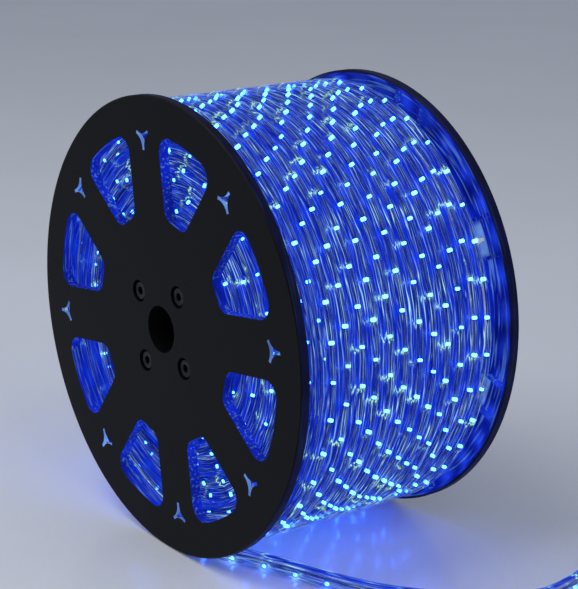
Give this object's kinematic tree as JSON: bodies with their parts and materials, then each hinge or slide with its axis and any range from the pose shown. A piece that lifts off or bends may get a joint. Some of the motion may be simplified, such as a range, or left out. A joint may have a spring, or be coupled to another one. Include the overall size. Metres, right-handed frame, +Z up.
{
  "type": "rope light",
  "caption": "Clear PVC rope light, lit blue from inside, wound in neat layers on a black moulded reel, with its loose end running off along the floor.",
  "frame": {"origin": "on the floor, under the middle of the reel", "axes": "+Y runs along the reel's axis from the front flange to the back one, +X points to the side where the loose end runs off, +Z is up"},
  "size_m": [0.4294, 0.2621, 0.35],
  "materials": {
    "black_plastic": "moulded black plastic with a satin sheen",
    "rope_pvc": "clear soft PVC that glows blue from the lamps inside",
    "lamp": "lit lamp, white with a cyan edge",
    "copper": "bare tinned copper strand",
    "black_steel": "blackened steel"
  },
  "bodies": {
    "root": {"front_flange": "black_plastic", "back_flange": "black_plastic", "barrel": "black_plastic", "tie_bolts": "black_steel", "tie_washers": "black_steel", "tie_nuts": "black_steel", "rope_coil": "rope_pvc", "supply_wires": "copper", "rope_tail": "rope_pvc", "end_cap": "black_plastic", "lamp_string_01": "lamp", "lamp_string_02": "lamp", "lamp_string_03": "lamp", "lamp_string_04": "lamp", "lamp_string_05": "lamp", "lamp_string_06": "lamp", "lamp_string_07": "lamp", "lamp_string_08": "lamp", "lamp_string_09": "lamp", "lamp_string_10": "lamp", "lamp_string_11": "lamp", "lamp_string_12": "lamp", "lamp_string_13": "lamp"}
  },
  "joints": []
}
